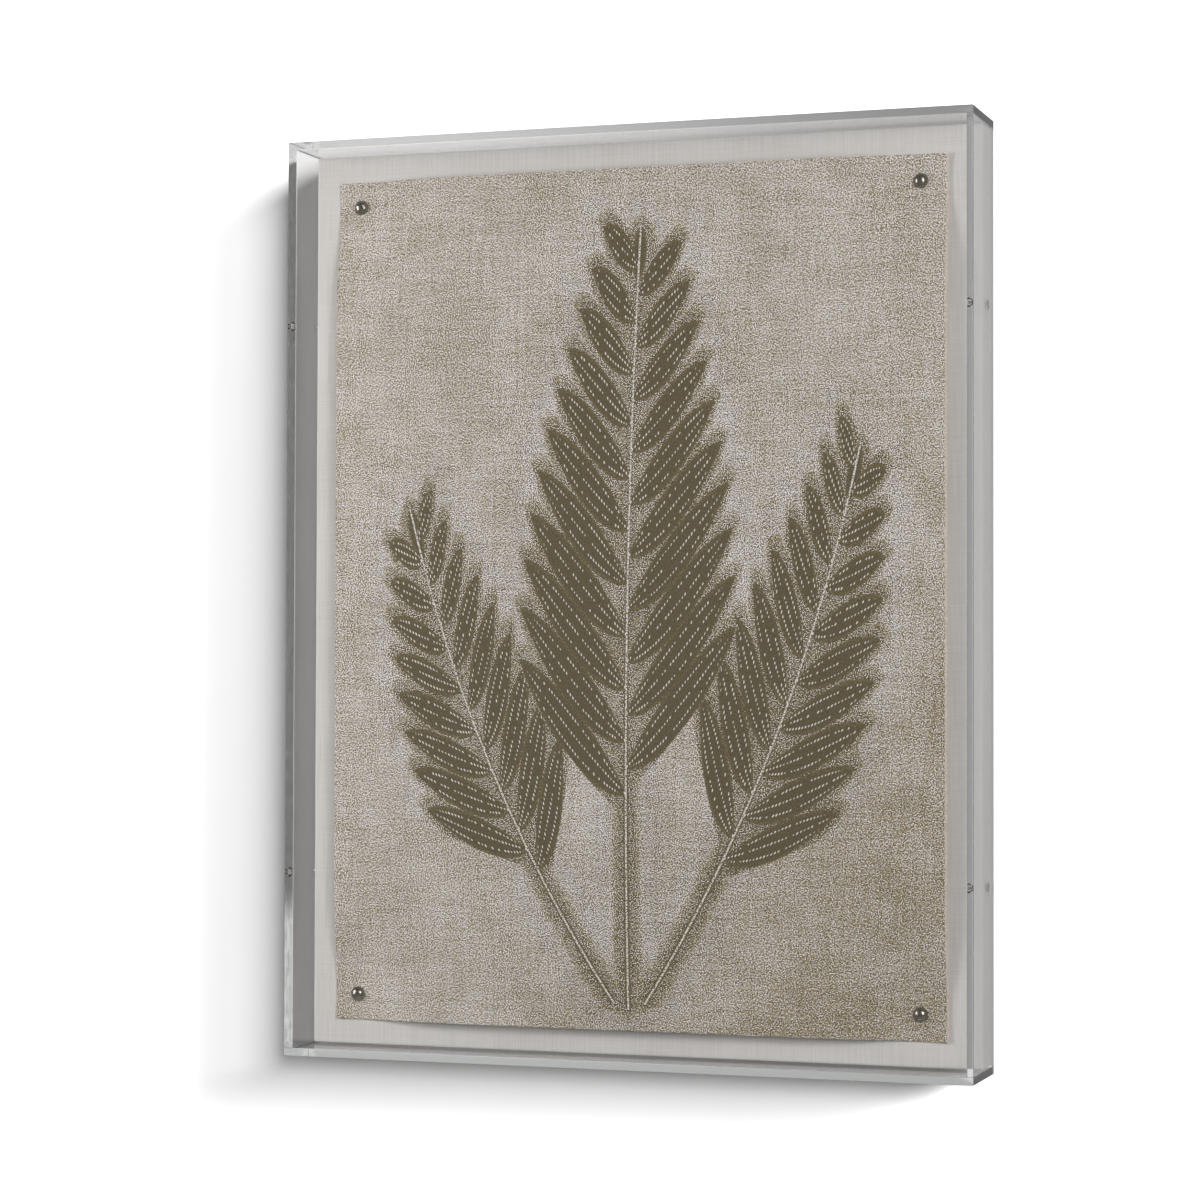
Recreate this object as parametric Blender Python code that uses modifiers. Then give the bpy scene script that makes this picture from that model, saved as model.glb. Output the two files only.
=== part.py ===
"""Acrylic shadow box frame with a botanical print pinned to a linen panel.

Metres, +Z up. The origin is the centre of the back, where the frame lies on a wall, and the
front faces -Y. Lengths along Y are given as depths behind the front or heights off the wall.
"""

import math

import bmesh
import bpy
from mathutils import Matrix

# Outer box
WIDTH = 0.621
HEIGHT = 0.813
DEPTH = 0.0845
ACRYLIC = 0.006
ARRIS = 0.0004

# Clearances between neighbouring pieces
GAP = 0.0003
PANEL_CLEARANCE = 0.001

# Linen panel, from its face towards the wall
LINEN_DEPTH = 0.051
LINEN_THICKNESS = 0.0006
LINEN_CORNER = 0.0016
LINEN_TURN = 0.025
BOARD_THICKNESS = 0.003
BAR_WIDTH = 0.050
WOOD_EDGE = 0.0008

# Printed sheet
PRINT_WIDTH = 0.560
PRINT_HEIGHT = 0.752
PRINT_DROP = 0.001
PAPER_THICKNESS = 0.0005
PRINT_LIFT = 0.0085
LIFT_START = 0.012
LIFT_REACH = 0.045
PAPER_STEPS = (0.011, -0.011, -0.025, -0.045, -0.070, -0.110, -0.160)
PAPER_LONG_STEP = 0.060

# Dome-headed pins
PIN_X = 0.2575
PIN_Z = 0.3535
PINS_LEFT = 0.0024
PINS_DOWN = 0.0010
PIN_HEAD_RADIUS = 0.0065
PIN_HEAD_HEIGHT = 0.0045
PIN_RIM = 0.0005
PIN_SHANK_RADIUS = 0.0009
PIN_SHANK_LENGTH = 0.016

# Side screws
SCREW_DEPTH = 0.061
SCREW_Z = 0.2464
SCREW_HEAD_RADIUS = 0.0042
SCREW_DOME = 0.0009
SCREW_RADIUS = 0.0019
SCREW_LENGTH = 0.030
SCREW_POINT = 0.004
RECESS_LENGTH = 0.0046
RECESS_WIDTH = 0.0009
RECESS_DEPTH = 0.0014

ROUND_STEPS = 24
DOME_STEPS = 6
HOLE_STEPS = 20
CUTTER_OVERLAP = 0.002
MERGE = 0.00001

# Derived places
FRONT = -DEPTH
HALF_WIDTH = WIDTH / 2
HALF_HEIGHT = HEIGHT / 2
WALL_FRONT = FRONT + ACRYLIC + GAP
LINEN_FACE = FRONT + LINEN_DEPTH
LINEN_HALF_WIDTH = HALF_WIDTH - ACRYLIC - PANEL_CLEARANCE
LINEN_HALF_HEIGHT = HALF_HEIGHT - ACRYLIC - PANEL_CLEARANCE
LAYER = LINEN_THICKNESS + GAP
WOOD_HALF_WIDTH = LINEN_HALF_WIDTH - LAYER
WOOD_HALF_HEIGHT = LINEN_HALF_HEIGHT - LAYER
BOARD_FACE = LINEN_FACE + LAYER
BAR_FACE = BOARD_FACE + BOARD_THICKNESS + GAP
BAR_BACK = -LAYER
BAR_INNER = WOOD_HALF_WIDTH - BAR_WIDTH
PAPER_BACK = LINEN_FACE - GAP
PIN_SEAT = PAPER_BACK - PAPER_THICKNESS - GAP
SCREW_Y = FRONT + SCREW_DEPTH

for old in list(bpy.data.objects):
    bpy.data.objects.remove(old, do_unlink=True)

parts = bpy.data.collections.new("acrylic_shadow_box")
cutters = bpy.data.collections.new("cutters")
bpy.context.scene.collection.children.link(parts)
bpy.context.scene.collection.children.link(cutters)

base = bpy.data.objects.new("shadow_box", None)
parts.objects.link(base)


def material(name, colour, roughness, metallic=0.0, transmission=0.0, ior=1.5):
    """A Principled material with plain values."""
    made = bpy.data.materials.new(name)
    made.use_nodes = True
    made.diffuse_color = (*colour, 1.0)
    shader = made.node_tree.nodes["Principled BSDF"]
    shader.inputs["Base Color"].default_value = (*colour, 1.0)
    shader.inputs["Roughness"].default_value = roughness
    shader.inputs["Metallic"].default_value = metallic
    shader.inputs["Transmission Weight"].default_value = transmission
    shader.inputs["IOR"].default_value = ior
    return made


def add(name, mesh, finish=None):
    """An object for a mesh: a part if it has a finish, otherwise a cutter."""
    made = bpy.data.objects.new(name, mesh)
    if finish is None:
        cutters.objects.link(made)
        made.hide_render = True
        made.display_type = "WIRE"
        return made
    parts.objects.link(made)
    made.parent = base
    mesh.materials.append(finish)
    return made


def box(name, low, high, finish=None, edge=0.0):
    """A block between two corners, with its arrises taken off by edge."""
    size = [b - a for a, b in zip(low, high)]
    centre = [(a + b) / 2 for a, b in zip(low, high)]
    work = bmesh.new()
    bmesh.ops.create_cube(work, size=1.0, matrix=Matrix.Diagonal((*size, 1.0)))
    mesh = bpy.data.meshes.new(name)
    work.to_mesh(mesh)
    work.free()
    made = add(name, mesh, finish)
    made.location = centre
    if edge:
        bevel = made.modifiers.new("eased edges", "BEVEL")
        bevel.width = edge
        bevel.segments = 1
    return made


def turned(name, profile, rotation, location, finish=None, steps=ROUND_STEPS):
    """A profile of (radius, height) points, from top to bottom, turned about its own Z."""
    work = bmesh.new()
    points = [work.verts.new((radius, 0.0, height)) for radius, height in profile]
    for first, second in zip(points, points[1:]):
        work.edges.new((first, second))
    mesh = bpy.data.meshes.new(name)
    work.to_mesh(mesh)
    work.free()
    made = add(name, mesh, finish)
    made.location = location
    made.rotation_euler = rotation
    turn = made.modifiers.new("turn", "SCREW")
    turn.steps = steps
    turn.render_steps = steps
    turn.use_merge_vertices = True
    turn.merge_threshold = MERGE
    return made


def round_hole(name, radius, length, rotation, location):
    """A cylindrical cutter centred on a place."""
    profile = [(0.0, length / 2), (radius, length / 2), (radius, -length / 2), (0.0, -length / 2)]
    return turned(name, profile, rotation, location, steps=HOLE_STEPS)


def cut(target, cutter):
    """Takes the cutter's shape out of the target."""
    boolean = target.modifiers.new(f"cut {cutter.name}", "BOOLEAN")
    boolean.operation = "DIFFERENCE"
    boolean.solver = "EXACT"
    boolean.object = cutter


def dome(radius, height, count):
    """Points of a spherical cap from its crown to its rim, as (radius, height)."""
    ball = (radius**2 + height**2) / (2 * height)
    widest = math.asin(radius / ball)
    points = []
    for step in range(count + 1):
        angle = widest * step / count
        points.append((ball * math.sin(angle), ball * math.cos(angle) - ball + height))
    return points


def screw_sites():
    """Name, side (-1 left, 1 right) and height of each side screw."""
    for side_name, side in (("left", -1), ("right", 1)):
        for level_name, level in (("upper", 1), ("lower", -1)):
            yield f"{side_name}_{level_name}", side, level * SCREW_Z


def pin_sites():
    """Name and place of each pin. All four sit a little left and low of even margins."""
    for level_name, level in (("top", 1), ("bottom", -1)):
        for side_name, side in (("left", -1), ("right", 1)):
            yield f"{level_name}_{side_name}", side * PIN_X - PINS_LEFT, level * PIN_Z - PINS_DOWN


def screw_turn(side):
    """The rotation that points a turned piece's +Z out of the left or right side."""
    return (0.0, side * math.pi / 2, 0.0)


PIN_TURN = (math.pi / 2, 0.0, 0.0)


def make_acrylic():
    """The front pane and the four walls behind its edges."""
    clear = material("clear_acrylic", (0.97, 0.98, 0.97), 0.02, transmission=1.0, ior=1.49)
    inner = HALF_WIDTH - ACRYLIC - GAP
    box(
        "front_pane",
        (-HALF_WIDTH, FRONT, -HALF_HEIGHT),
        (HALF_WIDTH, FRONT + ACRYLIC, HALF_HEIGHT),
        clear,
        ARRIS,
    )
    for name, low, high in (
        ("bottom_wall", -HALF_HEIGHT, -HALF_HEIGHT + ACRYLIC),
        ("top_wall", HALF_HEIGHT - ACRYLIC, HALF_HEIGHT),
    ):
        box(name, (-inner, WALL_FRONT, low), (inner, 0.0, high), clear, ARRIS)
    walls = {
        -1: box(
            "left_wall",
            (-HALF_WIDTH, WALL_FRONT, -HALF_HEIGHT),
            (-HALF_WIDTH + ACRYLIC, 0.0, HALF_HEIGHT),
            clear,
            ARRIS,
        ),
        1: box(
            "right_wall",
            (HALF_WIDTH - ACRYLIC, WALL_FRONT, -HALF_HEIGHT),
            (HALF_WIDTH, 0.0, HALF_HEIGHT),
            clear,
            ARRIS,
        ),
    }
    for name, side, level in screw_sites():
        seat = SCREW_HEAD_RADIUS + GAP
        throat = SCREW_RADIUS + GAP
        profile = [
            (0.0, CUTTER_OVERLAP),
            (seat, CUTTER_OVERLAP),
            (seat, -GAP),
            (throat, throat - seat - GAP),
            (throat, -ACRYLIC - CUTTER_OVERLAP),
            (0.0, -ACRYLIC - CUTTER_OVERLAP),
        ]
        place = (side * HALF_WIDTH, SCREW_Y, level)
        cut(walls[side], turned(f"countersink_{name}", profile, screw_turn(side), place))


def make_panel():
    """The linen, the board behind it and the wooden bars that carry both."""
    linen = material("linen", (0.72, 0.69, 0.65), 0.95)
    board_finish = material("hardboard", (0.35, 0.24, 0.15), 0.8)
    wood = material("pine", (0.72, 0.55, 0.36), 0.7)

    wrap = make_linen_wrap(linen)
    board = box(
        "backing_board",
        (-WOOD_HALF_WIDTH, BOARD_FACE, -WOOD_HALF_HEIGHT),
        (WOOD_HALF_WIDTH, BOARD_FACE + BOARD_THICKNESS, WOOD_HALF_HEIGHT),
        board_finish,
        WOOD_EDGE,
    )
    side_bars = {}
    for name, side in (("left_strainer_bar", -1), ("right_strainer_bar", 1)):
        edges = sorted((side * BAR_INNER, side * WOOD_HALF_WIDTH))
        side_bars[side] = box(
            name,
            (edges[0], BAR_FACE, -WOOD_HALF_HEIGHT),
            (edges[1], BAR_BACK, WOOD_HALF_HEIGHT),
            wood,
            WOOD_EDGE,
        )
    reach = BAR_INNER - GAP
    inner = WOOD_HALF_HEIGHT - BAR_WIDTH
    for name, low, high in (
        ("top_strainer_bar", inner, WOOD_HALF_HEIGHT),
        ("bottom_strainer_bar", -WOOD_HALF_HEIGHT, -inner),
    ):
        box(name, (-reach, BAR_FACE, low), (reach, BAR_BACK, high), wood, WOOD_EDGE)
    # The cross bar is set back by the linen's thickness, so its back lies on the wall.
    box(
        "cross_bar",
        (-reach, BAR_FACE + LAYER, -BAR_WIDTH / 2),
        (reach, 0.0, BAR_WIDTH / 2),
        wood,
        WOOD_EDGE,
    )

    for name, x, z in pin_sites():
        length = 2 * (PIN_SHANK_LENGTH + CUTTER_OVERLAP)
        hole = round_hole(
            f"pin_hole_{name}", PIN_SHANK_RADIUS + GAP, length, PIN_TURN, (x, PIN_SEAT, z)
        )
        for piece in (wrap, board, side_bars[-1 if x < 0 else 1]):
            cut(piece, hole)
    for name, side, level in screw_sites():
        length = 2 * (SCREW_LENGTH + GAP)
        place = (side * HALF_WIDTH, SCREW_Y, level)
        hole = round_hole(
            f"screw_hole_{name}", SCREW_RADIUS + GAP, length, screw_turn(side), place
        )
        for piece in (wrap, side_bars[side]):
            cut(piece, hole)


def make_linen_wrap(finish):
    """A thin tray: linen over the front and sides, turned a little way onto the back."""
    size = (2 * LINEN_HALF_WIDTH, -LINEN_FACE, 2 * LINEN_HALF_HEIGHT)
    work = bmesh.new()
    bmesh.ops.create_cube(work, size=1.0, matrix=Matrix.Diagonal((*size, 1.0)))
    bmesh.ops.bevel(
        work,
        geom=list(work.edges),
        offset=LINEN_CORNER,
        segments=3,
        profile=0.5,
        affect="EDGES",
    )
    back = max(work.faces, key=lambda face: face.normal.y * face.calc_area())
    bmesh.ops.inset_individual(work, faces=[back], thickness=LINEN_TURN)
    bmesh.ops.delete(work, geom=[back], context="FACES")
    mesh = bpy.data.meshes.new("linen_wrap")
    work.to_mesh(mesh)
    work.free()
    made = add("linen_wrap", mesh, finish)
    made.location = (0.0, LINEN_FACE / 2, 0.0)
    skin = made.modifiers.new("cloth thickness", "SOLIDIFY")
    skin.thickness = LINEN_THICKNESS
    skin.offset = -1.0
    skin.use_even_offset = True
    return made


def paper_lines(half, pin):
    """Grid lines across the paper, from its edge past a pin to the middle, then mirrored."""
    lines = [half] + [pin + step for step in PAPER_STEPS]
    while lines[-1] - PAPER_LONG_STEP > 0:
        lines.append(lines[-1] - PAPER_LONG_STEP)
    return [-line for line in lines] + lines[::-1]


def paper_lift(x, z):
    """How far the paper stands off the linen: nothing at a pin, PRINT_LIFT well away from all."""
    lift = PRINT_LIFT
    for _, pin_x, pin_z in pin_sites():
        away = max(0.0, math.hypot(x - pin_x, z - pin_z) - LIFT_START)
        lift *= 1.0 - math.exp(-((away / LIFT_REACH) ** 2))
    return lift


def make_print():
    """The printed sheet, bowed forward between its pins."""
    paper = material("printed_paper", (0.42, 0.38, 0.30), 0.85)
    columns = paper_lines(PRINT_WIDTH / 2, PIN_X)
    rows = paper_lines(PRINT_HEIGHT / 2, PIN_Z)
    across = len(columns) - 1
    up = len(rows) - 1
    work = bmesh.new()
    bmesh.ops.create_grid(work, x_segments=across, y_segments=up, size=0.5)
    for vertex in work.verts:
        column = round((vertex.co.x + 0.5) * across)
        row = round((vertex.co.y + 0.5) * up)
        x = columns[column]
        z = rows[row] - PRINT_DROP
        vertex.co = (x, PAPER_BACK - paper_lift(x, z), z)
    bmesh.ops.recalc_face_normals(work, faces=work.faces)
    if sum(face.normal.y for face in work.faces) > 0:
        bmesh.ops.reverse_faces(work, faces=work.faces)
    mesh = bpy.data.meshes.new("print_sheet")
    work.to_mesh(mesh)
    work.free()
    sheet = add("print_sheet", mesh, paper)
    thickness = sheet.modifiers.new("paper thickness", "SOLIDIFY")
    thickness.thickness = PAPER_THICKNESS
    thickness.offset = 1.0
    for name, x, z in pin_sites():
        hole = round_hole(
            f"paper_hole_{name}",
            PIN_SHANK_RADIUS + GAP,
            2 * CUTTER_OVERLAP,
            PIN_TURN,
            (x, PAPER_BACK, z),
        )
        cut(sheet, hole)


def make_pins():
    """Four nails whose domed heads hold the sheet's corners down."""
    metal = material("polished_grey_metal", (0.35, 0.34, 0.32), 0.22, metallic=1.0)
    profile = [(r, h + PIN_RIM) for r, h in dome(PIN_HEAD_RADIUS, PIN_HEAD_HEIGHT, DOME_STEPS)]
    profile += [
        (PIN_HEAD_RADIUS - PIN_RIM, 0.0),
        (PIN_SHANK_RADIUS, 0.0),
        (PIN_SHANK_RADIUS, -PIN_SHANK_LENGTH + 2 * PIN_SHANK_RADIUS),
        (0.0, -PIN_SHANK_LENGTH),
    ]
    for name, x, z in pin_sites():
        pin = turned(f"pin_{name}", profile, PIN_TURN, (x, PIN_SEAT, z), metal)
        smooth(pin)


def make_screws():
    """Four oval-head screws with a cross recess, through the side walls into the side bars."""
    steel = material("screw_steel", (0.62, 0.61, 0.59), 0.28, metallic=1.0)
    cone = SCREW_HEAD_RADIUS - SCREW_RADIUS
    profile = dome(SCREW_HEAD_RADIUS, SCREW_DOME, DOME_STEPS)
    profile += [
        (SCREW_RADIUS, -cone),
        (SCREW_RADIUS, SCREW_POINT - SCREW_LENGTH),
        (0.0, -SCREW_LENGTH),
    ]
    for name, side, level in screw_sites():
        place = (side * HALF_WIDTH, SCREW_Y, level)
        screw = turned(f"screw_{name}", profile, screw_turn(side), place, steel)
        smooth(screw)
        outer = side * (HALF_WIDTH + SCREW_DOME + CUTTER_OVERLAP)
        inner = side * (HALF_WIDTH + SCREW_DOME - RECESS_DEPTH)
        for blade, along_y, along_z in (
            ("upright", RECESS_WIDTH, RECESS_LENGTH),
            ("level", RECESS_LENGTH, RECESS_WIDTH),
        ):
            low = (min(outer, inner), SCREW_Y - along_y / 2, level - along_z / 2)
            high = (max(outer, inner), SCREW_Y + along_y / 2, level + along_z / 2)
            cut(screw, box(f"recess_{blade}_{name}", low, high))


def smooth(made):
    """Smooth shading that keeps the sharp edges between faces."""
    turn = made.modifiers["turn"]
    turn.use_smooth_shade = True


make_acrylic()
make_panel()
make_print()
make_pins()
make_screws()
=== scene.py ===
import math

import bmesh
import bpy
from mathutils import Matrix, Vector, noise


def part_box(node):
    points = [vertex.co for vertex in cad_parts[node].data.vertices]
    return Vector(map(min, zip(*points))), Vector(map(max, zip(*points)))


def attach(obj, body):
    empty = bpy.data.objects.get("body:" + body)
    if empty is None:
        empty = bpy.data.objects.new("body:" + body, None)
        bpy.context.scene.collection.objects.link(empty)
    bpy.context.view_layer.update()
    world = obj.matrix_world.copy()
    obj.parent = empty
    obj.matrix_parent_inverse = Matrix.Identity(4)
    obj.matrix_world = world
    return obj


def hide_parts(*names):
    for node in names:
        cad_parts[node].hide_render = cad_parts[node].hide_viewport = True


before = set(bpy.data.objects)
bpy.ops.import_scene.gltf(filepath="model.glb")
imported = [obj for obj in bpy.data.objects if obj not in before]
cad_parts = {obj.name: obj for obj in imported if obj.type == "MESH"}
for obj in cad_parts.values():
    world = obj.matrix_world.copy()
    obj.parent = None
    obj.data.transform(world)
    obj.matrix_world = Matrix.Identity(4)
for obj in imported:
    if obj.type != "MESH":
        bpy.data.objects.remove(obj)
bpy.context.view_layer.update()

BODY = "root"

# Sizes read from the frame's own nodes
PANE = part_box("front_pane")
TOP_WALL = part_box("top_wall")
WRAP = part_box("linen_wrap")
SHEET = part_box("print_sheet")
HALF_WIDTH = PANE[1][0]
HALF_HEIGHT = PANE[1][2]
FRONT = PANE[0][1]
ACRYLIC = PANE[1][1] - PANE[0][1]
BACK = TOP_WALL[1][1]
SHEET_MIDDLE = (SHEET[0][2] + SHEET[1][2]) / 2
SHEET_HALF_WIDTH = SHEET[1][0]
SHEET_HALF_HEIGHT = (SHEET[1][2] - SHEET[0][2]) / 2
PIN_NAMES = ("pin_top_left", "pin_top_right", "pin_bottom_left", "pin_bottom_right")
SCREW_NAMES = ("screw_left_upper", "screw_left_lower", "screw_right_upper", "screw_right_lower")

# Clear box
ARRIS = 0.0005
ACRYLIC_IOR = 1.49
LAMP_SHARE = 0.95
GLUE_FILLET = 0.0008
SEAT_CLEARANCE = 0.0003

# Linen
CLOTH = 0.0006
CLOTH_CORNER = 0.0016
CLOTH_TURN = 0.025
CLOTH_STEP = 0.012
CLOTH_SIDE_CUTS = (0.25, 0.5, 0.75)
SWELL_DEPTH = 0.00022
SWELL_PITCH = 9
SWELL_SLICE = 3.0
EDGE_PULL = 0.0003
EDGE_PITCH = 28
EDGE_PITCH_DEEP = 20
THREAD = 0.0007

# Printed sheet
PAPER = 0.0005
PAPER_STEP = 0.008
LIFT = 0.0085
LIFT_START = 0.012
LIFT_REACH = 0.045
BARE_STRIP = 0.0022

# Pins and screws
PIN_CROWN = 0.0045
PIN_RIM = 0.0005
PIN_SHANK = 0.0009
PIN_TIP = 0.0018
SCREW_BODY = 0.0019
SCREW_TIP = 0.004
RECESS_REACH = 0.0023
RECESS_HALF_WIDTH = 0.00045
RECESS_DEPTH = 0.0016
RECESS_FLOOR_REACH = 0.45
RECESS_FLOOR_WIDTH = 0.7
DOME_STEPS = 14
ROUND_STEPS = 64

# Camera, from the outer corners of the frame in the photograph
CAMERA_PLACE = (0.8541, -2.6549, -0.0711)
CAMERA_YAW = math.radians(18.691)
CAMERA_PITCH = math.radians(1.419)
CAMERA_ROLL = math.radians(0.157)
CAMERA_LENS = 94.64
SENSOR = 36.0

# Stage
WALL_GAP = 0.0004
WALL_REACH = 5.0
WALL_TOP = 3.0
WALL_HOLE_MARGIN = 0.012
FLOOR_LEVEL = -2.6
FLOOR_REACH = 6.0
# Painted shade: the wall's grey for all rays but the camera's, lighter at the left, darker at the
# right
WALL_SHADE_IN_GLASS_LEFT = (0.52, 0.52, 0.52, 1.0)
WALL_SHADE_IN_GLASS_RIGHT = (0.20, 0.20, 0.20, 1.0)
ROOM_LIGHT = 0.16
ROOM_IN_GLASS = 0.36
ROOM_IN_GLASS_DEPTH = 3.5
# Painted light: a glow on the wall behind the back rims, seen in the acrylic
RIM_GLOW_COLOUR = (0.97, 1.0, 0.98, 1.0)
RIM_INSET = 0.001
BOTTOM_RIM_GLOW = 0.40
LEFT_RIM_GLOW = 0.08
LEFT_RIM_GLOW_LOW = 0.45
LEFT_RIM_TURN = -0.30

# Lamps: name, azimuth, elevation, distance, width, height, power
WALL_LAMPS = (
    ("wall_key", 61.0, 21.0, 9.0, 2.7, 3.0, 3150.0),
    ("wall_fill", 8.0, 10.0, 9.0, 3.0, 3.0, 36.0),
)
FRAME_LAMPS = (
    ("right", 48.0, 10.0, 1.9, 0.50, 0.90, 17.0),
    ("left", -56.0, 8.0, 1.9, 0.75, 1.30, 30.0),
    ("upper", 40.0, 30.0, 9.0, 3.0, 3.0, 200.0),
)
BACK_LAMP = ("behind", 200.0, 25.0, 2.4, 1.2, 1.2, 40.0)


def centre_of(node):
    """The middle of a node's box."""
    low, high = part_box(node)
    return (Vector(low) + Vector(high)) / 2


# Shader maths

class Value:
    """A number that varies over a surface: one output of a shader node, with arithmetic."""

    def __init__(self, tree, socket):
        self.tree = tree
        self.socket = socket

    def math(self, operation, *others):
        node = self.tree.nodes.new("ShaderNodeMath")
        node.operation = operation
        for socket, value in zip(node.inputs, (self, *others)):
            plug(self.tree, socket, value)
        return Value(self.tree, node.outputs[0])

    def __add__(self, other):
        return self.math("ADD", other)

    def __sub__(self, other):
        return self.math("SUBTRACT", other)

    def __mul__(self, other):
        return self.math("MULTIPLY", other)

    def __truediv__(self, other):
        return self.math("DIVIDE", other)

    def __abs__(self):
        return self.math("ABSOLUTE")

    def power(self, other):
        return self.math("POWER", other)

    def least(self, other):
        return self.math("MINIMUM", other)

    def most(self, other):
        return self.math("MAXIMUM", other)

    def over(self, other):
        """1 where this is greater, otherwise 0."""
        return self.math("GREATER_THAN", other)

    def rounded(self):
        return self.math("ROUND")

    def floored(self):
        return self.math("FLOOR")

    def wave(self, period):
        """1 on each multiple of period and -1 halfway between."""
        return (self * (2 * math.pi / period)).math("COSINE")

    def ramp(self, start, end, low=0.0, high=1.0):
        """Goes smoothly from low at start to high at end, and stays there."""
        node = self.tree.nodes.new("ShaderNodeMapRange")
        node.interpolation_type = "SMOOTHSTEP"
        for name, value in (
            ("Value", self),
            ("From Min", start),
            ("From Max", end),
            ("To Min", low),
            ("To Max", high),
        ):
            plug(self.tree, node.inputs[name], value)
        return Value(self.tree, node.outputs[0])

    def blend(self, low, high):
        """low where this is 0 and high where it is 1."""
        node = self.tree.nodes.new("ShaderNodeMix")
        node.data_type = "FLOAT"
        plug(self.tree, node.inputs["Factor"], self)
        plug(self.tree, node.inputs["A"], low)
        plug(self.tree, node.inputs["B"], high)
        return Value(self.tree, node.outputs[0])

    def colours(self, low, high):
        """The colour low where this is 0 and high where it is 1."""
        node = self.tree.nodes.new("ShaderNodeMix")
        node.data_type = "RGBA"
        plug(self.tree, node.inputs["Factor"], self)
        plug(self.tree, node.inputs[6], low)
        plug(self.tree, node.inputs[7], high)
        return node.outputs[2]


def plug(tree, socket, value):
    """Links a varying value to a socket, or sets a plain one on it."""
    if isinstance(value, Value):
        tree.links.new(value.socket, socket)
    elif isinstance(value, bpy.types.NodeSocket):
        tree.links.new(value, socket)
    else:
        socket.default_value = value


def srgb(red, green, blue):
    """A display colour of 0 to 255 as a linear colour with alpha."""
    linear = []
    for channel in (red, green, blue):
        part = channel / 255
        linear.append(part / 12.92 if part <= 0.04045 else ((part + 0.055) / 1.055) ** 2.4)
    return (*linear, 1.0)


def new_material(name):
    """A material with one Principled shader. Returns it, its tree and the shader."""
    made = bpy.data.materials.new(name)
    made.use_nodes = True
    return made, made.node_tree, made.node_tree.nodes["Principled BSDF"]


def axes(tree):
    """The object's own coordinates in metres, as three values."""
    place = tree.nodes.new("ShaderNodeTexCoord")
    split = tree.nodes.new("ShaderNodeSeparateXYZ")
    tree.links.new(place.outputs["Object"], split.inputs[0])
    return [Value(tree, split.outputs[i]) for i in range(3)]


def facing(tree):
    """How much the surface faces along X, Y and Z, signed, as three values."""
    place = tree.nodes.new("ShaderNodeTexCoord")
    split = tree.nodes.new("ShaderNodeSeparateXYZ")
    tree.links.new(place.outputs["Normal"], split.inputs[0])
    return [Value(tree, split.outputs[i]) for i in range(3)]


def vector(tree, x, y, z=0.0):
    """A vector from three values."""
    node = tree.nodes.new("ShaderNodeCombineXYZ")
    for socket, value in zip(node.inputs, (x, y, z)):
        plug(tree, socket, value)
    return node.outputs[0]


def clouds(tree, where, scale, detail=2.0, roughness=0.5):
    """Noise between 0 and 1 with blobs about 1/scale metres across."""
    node = tree.nodes.new("ShaderNodeTexNoise")
    tree.links.new(where, node.inputs["Vector"])
    node.inputs["Scale"].default_value = scale
    node.inputs["Detail"].default_value = detail
    node.inputs["Roughness"].default_value = roughness
    return Value(tree, node.outputs[0])


def chance(tree, where):
    """A random number between 0 and 1 for each whole-numbered place."""
    node = tree.nodes.new("ShaderNodeTexWhiteNoise")
    tree.links.new(where, node.inputs["Vector"])
    return Value(tree, node.outputs["Value"])


def bump(tree, shader, height, distance, strength=1.0):
    """Drives the shader's normal by a height whose full range is distance metres."""
    node = tree.nodes.new("ShaderNodeBump")
    node.inputs["Strength"].default_value = strength
    node.inputs["Distance"].default_value = distance
    plug(tree, node.inputs["Height"], height)
    tree.links.new(node.outputs[0], shader.inputs["Normal"])


# Materials

def clear_acrylic():
    """Polished clear sheet. Light from the lamps goes straight through, dimmed as at its faces."""
    made, tree, shader = new_material("clear_acrylic")
    shader.inputs["Base Color"].default_value = (1.0, 1.0, 1.0, 1.0)
    shader.inputs["Roughness"].default_value = 0.0
    shader.inputs["IOR"].default_value = ACRYLIC_IOR
    shader.inputs["Transmission Weight"].default_value = 1.0

    x, y, z = axes(tree)
    ripple = clouds(tree, vector(tree, x, y, z), 9.0, 1.0)
    bump(tree, shader, ripple, 0.00012)

    # The way out of a sheet loses as much as the way in. The share stands for the light that
    # strays inside the thick walls.
    lamp = tree.nodes.new("ShaderNodeBsdfTransparent")
    side = tree.nodes.new("ShaderNodeNewGeometry")
    leaving = Value(tree, side.outputs["Backfacing"])
    fresnel = tree.nodes.new("ShaderNodeFresnel")
    plug(tree, fresnel.inputs["IOR"], leaving.blend(ACRYLIC_IOR, 1 / ACRYLIC_IOR))
    passed = (Value(tree, fresnel.outputs[0]) * -1.0 + 1.0) * LAMP_SHARE
    tree.links.new(passed.socket, lamp.inputs["Color"])
    path = tree.nodes.new("ShaderNodeLightPath")

    def choose(ray, otherwise, chosen):
        mix = tree.nodes.new("ShaderNodeMixShader")
        tree.links.new(path.outputs[ray], mix.inputs[0])
        tree.links.new(otherwise, mix.inputs[1])
        tree.links.new(chosen, mix.inputs[2])
        return mix.outputs[0]

    glass, straight = shader.outputs[0], lamp.outputs[0]
    dull_gloss = choose("Is Singular Ray", straight, glass)
    surface = choose("Is Glossy Ray", glass, dull_gloss)
    surface = choose("Is Diffuse Ray", surface, straight)
    surface = choose("Is Shadow Ray", surface, straight)
    tree.links.new(surface, tree.nodes["Material Output"].inputs["Surface"])
    return made


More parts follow.
